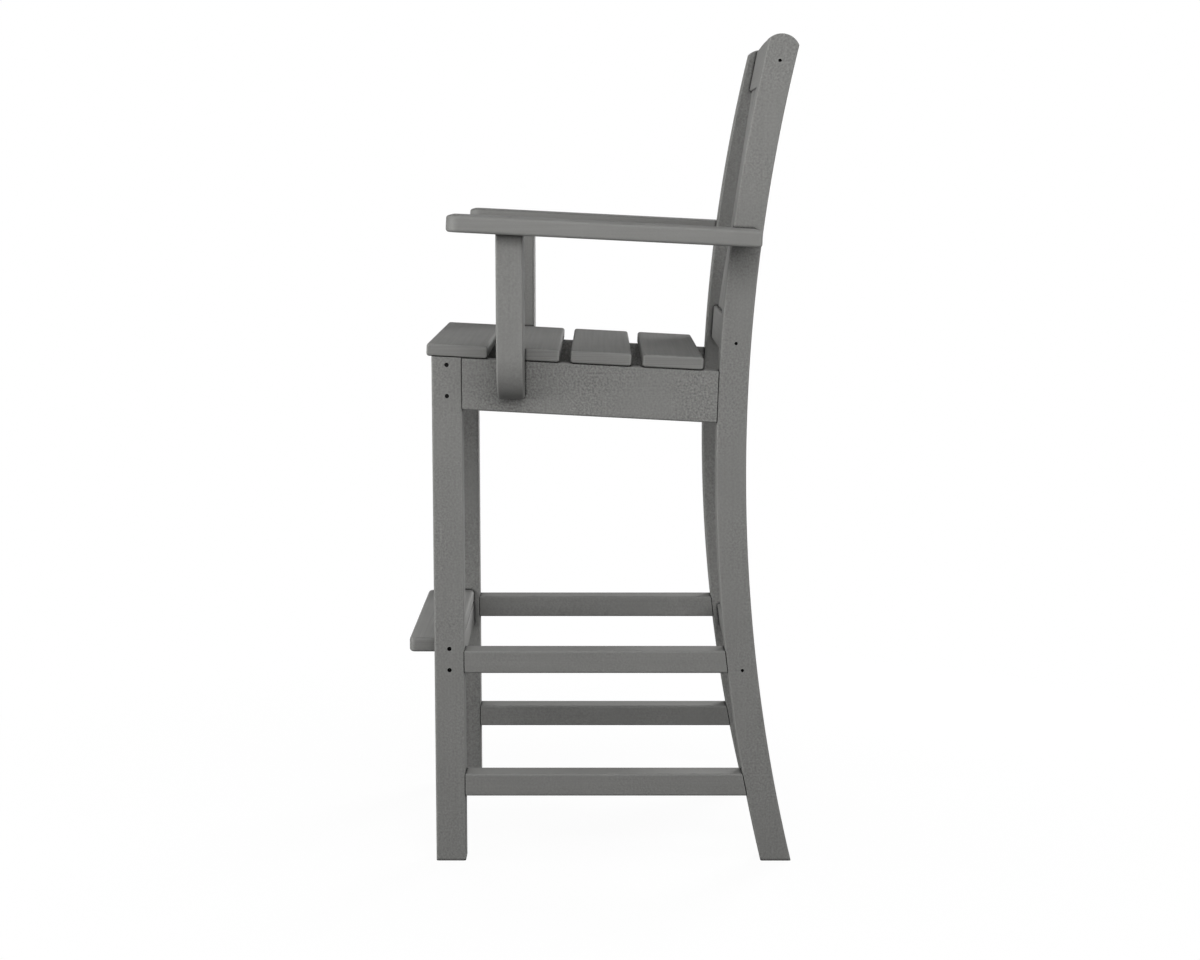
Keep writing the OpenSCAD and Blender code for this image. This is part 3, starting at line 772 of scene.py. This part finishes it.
def shade_bore_walls(piece):
    """Give the walls of a board's screw holes the near-black finish of painted shade, and count the
    faces.
    """
    mesh = piece.data
    low, high = mesh_box(mesh)
    near = [(top, outward) for found in screws.values() for top, outward, _, _ in found
            if all(low[axis] < top[axis] < high[axis] for axis in range(3))]

    def is_wall(face):
        for top, outward in near:
            reach = face.center - top
            depth = reach.dot(outward)
            if (WALL_FLOOR < depth < WALL_MOUTH and (reach - outward * depth).length < WALL_REACH
                    and (abs(face.normal.dot(outward)) < WALL_TURN or depth < -MM)):
                return True
        return False

    walls = [face for face in mesh.polygons if is_wall(face)]
    if walls:
        mesh.materials.append(BORE_SHADE)
    for face in walls:
        face.material_index = len(mesh.materials) - 1
    return len(walls)


# %% [markdown]
# ## The swept back legs
# Each back leg is sawn to one long arc that bows forward at mid height. A sweep follows that rule:
# a rounded rectangle travels along an arc of the sweep's radius. The foot is then cut level, the
# top is cut to its own arc, and the screw holes are bored, all with exact Boolean cuts, because a
# bevelled box bent by hand would never keep the two faces parallel.

# %% A tree for the sweep
def sweep_tree():
    tree, size = new_tree("swept_board", [
        ("Geometry", "Geometry"), ("Sweep Radius", "Float"), ("Sweep Angle", "Float"),
        ("Steps", "Int"), ("Depth", "Float"), ("Thickness", "Float"),
        ("Edge Radius", "Float"), ("Edge Steps", "Int"), ("Finish", "Material")])
    start = size["Depth"]
    section = start.node("GeometryNodeCurvePrimitiveQuadrilateral", None,
                         {"Width": size["Depth"], "Height": size["Thickness"]})
    rounded = start.node("GeometryNodeFilletCurve", {"mode": "POLY"}, {
        "Curve": section, "Radius": size["Edge Radius"], "Count": size["Edge Steps"]})
    arc = start.node("GeometryNodeCurveArc", None, {
        "Resolution": size["Steps"], "Radius": size["Sweep Radius"],
        "Start Angle": size["Sweep Angle"] * -0.5, "Sweep Angle": size["Sweep Angle"]})
    board = start.node("GeometryNodeCurveToMesh", None,
                       {"Curve": arc, "Profile Curve": rounded, "Fill Caps": True})
    close_tree(tree, board, size["Finish"])
    return tree


SWEEP_TREE = sweep_tree()

# %% [markdown]
# ## Cutters for the back legs
# The saw is one flat outline, extruded across both legs: level at the foot and arced at the top.
# Each bore is turned as on a lathe: a profile of radius and height goes round the screw's axis,
# wide over the head and narrow round the shank. Both are closed meshes, because an exact Boolean
# cut needs a cutter without gaps.

# %% Make closed cutters
BORE_SIDES = 32
SHANK_PLAY = 0.15 * MM
OPEN_DEPTH = 12 * MM


def closed_piece(name, build):
    """Turn the faces of a build outwards and make it a piece."""
    bmesh.ops.recalc_face_normals(build, faces=build.faces)
    mesh = bpy.data.meshes.new(name)
    build.to_mesh(mesh)
    build.free()
    return link_piece(name, mesh)


def prism(name, outline, half_width):
    """Extrude an outline of (y, z) points both ways along X."""
    build = bmesh.new()
    face = build.faces.new([build.verts.new((-half_width, y, z)) for y, z in outline])
    grown = bmesh.ops.extrude_face_region(build, geom=[face])["geom"]
    bmesh.ops.translate(build, vec=(2 * half_width, 0, 0),
                        verts=[v for v in grown if isinstance(v, bmesh.types.BMVert)])
    return closed_piece(name, build)


def bore_cutter(name, found, sink_radius):
    """Stepped cylinders: a sink over each head, and a bore round each shank."""
    build = bmesh.new()
    for top, axis, radius, length in found:
        bore = shank_radius(radius) + SHANK_PLAY
        profile = [(0, OPEN_DEPTH), (sink_radius, OPEN_DEPTH), (sink_radius, -HEAD_HEIGHT),
                   (bore, -HEAD_HEIGHT), (bore, -length), (0, -length)]
        place = Matrix.Translation(top) @ axis.to_track_quat("Z", "Y").to_matrix().to_4x4()
        rings = []
        for ring_radius, height in profile:
            # A ring without a radius is one point on the axis
            turns = [math.tau * i / BORE_SIDES for i in range(BORE_SIDES if ring_radius else 1)]
            rings.append([build.verts.new(place @ Vector((
                ring_radius * math.cos(turn), ring_radius * math.sin(turn), height)))
                for turn in turns])
        for lower, upper in zip(rings, rings[1:]):
            for i in range(BORE_SIDES):
                corners = [lower[i % len(lower)], lower[(i + 1) % len(lower)],
                           upper[(i + 1) % len(upper)], upper[i % len(upper)]]
                build.faces.new(list(dict.fromkeys(corners)))
    return closed_piece(name, build)


# %% Shape the saw and the bores
LEG_DEPTH, LEG_THICK = 44.45 * MM, 38.1 * MM
SWEEP_R, SWEEP_H = 2577.3 * MM, 606.3 * MM
MID_R = SWEEP_R + LEG_DEPTH / 2
LEG_TOP_R = 27.65 * MM
LEG_TOP_Z = 1221.3 * MM - LEG_TOP_R
LEG_GAP = 371.4 * MM
SWEEP_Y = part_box("left_front_leg")[1].y + LEG_GAP + LEG_DEPTH + SWEEP_R
TOP_STEPS = 48
SAW_REACH, SAW_HALF_WIDTH = 0.5, 0.3
BACK_SINK_R, FRAME_SINK_R = 2.45 * MM, 3.2 * MM

top_y = SWEEP_Y - math.sqrt(MID_R ** 2 - (LEG_TOP_Z - SWEEP_H) ** 2)
outline = [(top_y - SAW_REACH, 0), (top_y + SAW_REACH, 0), (top_y + SAW_REACH, LEG_TOP_Z)]
outline += [(top_y + LEG_TOP_R * math.cos(math.pi * i / TOP_STEPS),
             LEG_TOP_Z + LEG_TOP_R * math.sin(math.pi * i / TOP_STEPS))
            for i in range(TOP_STEPS + 1)]
outline += [(top_y - SAW_REACH, LEG_TOP_Z)]
saw = prism("leg_saw", outline, SAW_HALF_WIDTH)
back_bores = bore_cutter("back_bores", sum((screws[name] for name in (
    "rear_stretcher_screws", "lower_back_rail_screws", "top_rail_screws")), []), BACK_SINK_R)
# Of the arm's screws, only the level ones go through a back leg
frame_bores = bore_cutter("frame_bores", sum((screws[name] for name in (
    "side_rail_screws", "side_stretcher_screws")), [])
    + [found for found in screws["arm_screws"] if abs(found[1].z) < 0.5], FRAME_SINK_R)
print("cutters:", saw.name, back_bores.name, frame_bores.name)

# %% [markdown]
# ## Sawing both legs
# The tree's arc lies in its own XY plane, so the swept board is first stood upright, with the
# middle of its arc pointing forward. Then come the cuts, in the order of a workshop: first the saw
# for the foot and the top, then the bores. Easing comes last, because it looks for the sharp edges
# that the cuts leave.

# %% Saw both legs
SWEEP_ANGLE = math.radians(29)
SWEEP_STEPS = 97
LEG_FILLET = 3.2 * MM


def cut(piece, cutter, operation):
    boolean = piece.modifiers.new("cut", "BOOLEAN")
    boolean.operation, boolean.solver, boolean.object = operation, "EXACT", cutter
    settle(piece)


def swept_leg(name, side, node_name):
    """Sweep, saw, bore, ease and finish one back leg."""
    mesh = run_tree(name, SWEEP_TREE, {
        "Sweep Radius": MID_R, "Sweep Angle": SWEEP_ANGLE, "Steps": SWEEP_STEPS,
        "Depth": LEG_DEPTH, "Thickness": LEG_THICK, "Edge Radius": LEG_FILLET,
        "Edge Steps": FILLET_STEPS, "Finish": LUMBER["upright"]})
    upright = Matrix(((0, 0, 1), (-1, 0, 0), (0, 1, 0))).to_4x4()
    middle = Matrix.Translation((side * (OUTER_X - LEG_THICK / 2), SWEEP_Y, SWEEP_H))
    mesh.transform(middle @ upright)
    build = bmesh.new()
    build.from_mesh(mesh)
    bmesh.ops.recalc_face_normals(build, faces=build.faces)
    build.to_mesh(mesh)
    build.free()
    piece = link_piece(name, mesh)
    cut(piece, saw, "INTERSECT")
    for bores in (back_bores, frame_bores):
        cut(piece, bores, "DIFFERENCE")
    ease(piece, SAWN_EASE)
    print(name, "bore faces:", shade_bore_walls(piece))
    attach(piece, "root")
    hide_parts(node_name)
    print_box(piece)


swept_leg("left_swept_leg", 1, "left_back_leg")
swept_leg("right_swept_leg", -1, "right_back_leg")
for cutter in (saw, back_bores, frame_bores):
    bpy.data.objects.remove(cutter)

# %% [markdown]
# ## The straight boards, the arms and the footrest
# The other boards keep the shape of their solids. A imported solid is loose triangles, so a copy is
# welded and its flat faces are joined first. Then it is eased and shaded smooth, which rounds the
# look of the arms, the posts and the footrest without changing their size.

# %% Finish the other boards
SAME_PLANE = math.radians(0.4)
BOARDS = {
    "upright": ["left_front_leg", "right_front_leg"],
    "lengthways": ["left_side_rail", "right_side_rail"],
    "thin_lengthways": ["left_upper_stretcher", "right_upper_stretcher",
                        "left_lower_stretcher", "right_lower_stretcher"],
    "across": ["front_apron", "front_stretcher", "rear_stretcher"],
    "smooth_across": ["footrest", "top_rail", "lower_back_rail"],
    "smooth_lengthways": ["left_arm", "right_arm"],
    "smooth_upright": ["left_arm_post", "right_arm_post"],
}


def clean_copy(name, node_names):
    """One welded mesh of the named solids, with coplanar triangles joined."""
    build = bmesh.new()
    for node_name in node_names:
        build.from_mesh(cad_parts[node_name].data)
    bmesh.ops.remove_doubles(build, verts=build.verts, dist=WELD)
    bmesh.ops.dissolve_limit(build, angle_limit=SAME_PLANE, verts=build.verts,
                             edges=build.edges, use_dissolve_boundaries=False)
    mesh = bpy.data.meshes.new(name)
    build.to_mesh(mesh)
    build.free()
    return mesh


def finished_board(name, node_names, finish):
    """A board taken from its solid: welded, eased and finished."""
    piece = link_piece(name, clean_copy(name, node_names))
    ease(piece, SAWN_EASE)
    piece.data.materials.clear()
    piece.data.materials.append(LUMBER[finish])
    shade_bore_walls(piece)
    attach(piece, "root")
    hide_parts(*node_names)
    print(piece.name, "faces:", len(piece.data.polygons))


for finish, node_names in BOARDS.items():
    for node_name in node_names:
        finished_board("finished_" + node_name, [node_name], finish)

# %% [markdown]
# ## The floor
# The chair stands on a plain white floor that takes a faint shadow. To the camera a small share of
# it is a diffuse surface, which can darken, and the rest shines plain white. That share fades out
# away from the chair, so the floor has no visible end. For all other light the floor is a dull
# grey, because a white one would light the chair from below.

# %% Lay the floor
FLOOR_HALF = 6.0
FLOOR_SHADOW = 0.06
FLOOR_PALE = 0.8
FLOOR_BOUNCE = 0.12
SHADOW_REACH_M = 1.3


def camera_sees(start):
    """One for rays from the camera, and for those that glossy and clear surfaces send on."""
    rays = {name: start.node("ShaderNodeLightPath", None, None, name)
            for name in ("Is Camera Ray", "Is Glossy Ray", "Is Transmission Ray")}
    return (rays["Is Camera Ray"] + rays["Is Glossy Ray"] + rays["Is Transmission Ray"]).clamped()


def empty_tree(owner):
    """Turn on an owner's node tree, empty it and give a Signal to start from."""
    owner.use_nodes = True
    owner.node_tree.nodes.clear()
    return Signal(owner.node_tree)


floor_mesh = bpy.data.meshes.new("studio_floor")
floor_mesh.from_pydata([(-FLOOR_HALF, -FLOOR_HALF, 0), (FLOOR_HALF, -FLOOR_HALF, 0),
                        (FLOOR_HALF, FLOOR_HALF, 0), (-FLOOR_HALF, FLOOR_HALF, 0)],
                       [], [(0, 1, 2, 3)])
floor = link_piece("studio_floor", floor_mesh)
floor_finish = bpy.data.materials.new("studio_floor")
start = empty_tree(floor_finish)
pale = start.node("ShaderNodeBsdfDiffuse", None, {"Color": (FLOOR_PALE,) * 3 + (1,)})
duller = start.node("ShaderNodeBsdfDiffuse", None, {"Color": (FLOOR_BOUNCE,) * 3 + (1,)})
white = start.node("ShaderNodeEmission", None, {"Color": (1, 1, 1, 1), "Strength": 1.0})
place = start.node("ShaderNodeTexCoord", None, None, "Object")
away = start.node("ShaderNodeVectorMath", {"operation": "LENGTH"}, {0: place}, "Value")
share = (1 - (away / SHADOW_REACH_M) ** 2).clamped() * FLOOR_SHADOW
seen = start.node("ShaderNodeMixShader", None, {0: share, 1: white, 2: pale})
shown = start.node("ShaderNodeMixShader", None, {0: camera_sees(start), 1: duller, 2: seen})
start.node("ShaderNodeOutputMaterial", None, {"Surface": shown})
floor_mesh.materials.append(floor_finish)
print("floor:", 2 * FLOOR_HALF, "m square")

# %% [markdown]
# ## The background
# The background is plain white to the camera, and in what glossy and clear surfaces show of it. To
# all other light it is almost black. So the lamps alone light the chair, and its sides keep their
# light and shade.

# %% Light the background
AMBIENT = 0.02
world = bpy.data.worlds.new("studio")
bpy.context.scene.world = world
start = empty_tree(world)
ambient = start.node("ShaderNodeBackground", None, {"Color": (1, 1, 1, 1), "Strength": AMBIENT})
backdrop = start.node("ShaderNodeBackground", None, {"Color": (1, 1, 1, 1), "Strength": 1.0})
both = start.node("ShaderNodeMixShader", None, {0: camera_sees(start), 1: ambient, 2: backdrop})
start.node("ShaderNodeOutputWorld", None, {"Surface": both})
print("ambient strength:", AMBIENT)

# %% [markdown]
# ## The lamps
# The lamps are large and soft, so the boards turn gently from light to shade and no lamp shows as
# a hard spot. They stand round the chair and aim at its middle. The powers are those whose sum
# comes nearest to the tones of the boards in the picture.

# %% Hang the lamps
LAMPS = {
    # name: (place, size, power)
    "overhead": ((0.0, 0.0, 3.6), 2.4, 17.5),
    "near_high": ((1.7, 0.0, 2.9), 1.6, 9),
    "near_middle": ((2.2, 0.0, 1.6), 1.0, 22),
    "near_front": ((2.2, -1.1, 1.4), 1.0, 12.5),
    "near_rear": ((2.2, 1.1, 1.4), 1.0, 14.5),
    "front_low": ((0.3, -2.4, 0.7), 0.6, 24.5),
    "front_corner": ((1.5, -2.2, 0.9), 0.8, 15),
    "rear_corner": ((1.0, 2.4, 1.3), 0.8, 14),
    "far_front": ((-2.0, -1.4, 1.0), 1.0, 15),
    "far_rear": ((-2.0, 1.4, 1.0), 1.0, 67),
}
AIM = Vector((0, 0, 0.6))
for name, (spot, size, power) in LAMPS.items():
    lamp = bpy.data.lights.new(name, "AREA")
    lamp.shape, lamp.size, lamp.energy = "SQUARE", size, power
    holder = bpy.data.objects.new(name, lamp)
    holder.location = spot
    holder.rotation_euler = (AIM - Vector(spot)).to_track_quat("-Z", "Y").to_euler()
    bpy.context.scene.collection.objects.link(holder)
print("lamps:", len(LAMPS))

# %% [markdown]
# ## The view
# The colours are shown as they are, with the Standard view.

# %% Set the view
bpy.context.scene.view_settings.view_transform = "Standard"
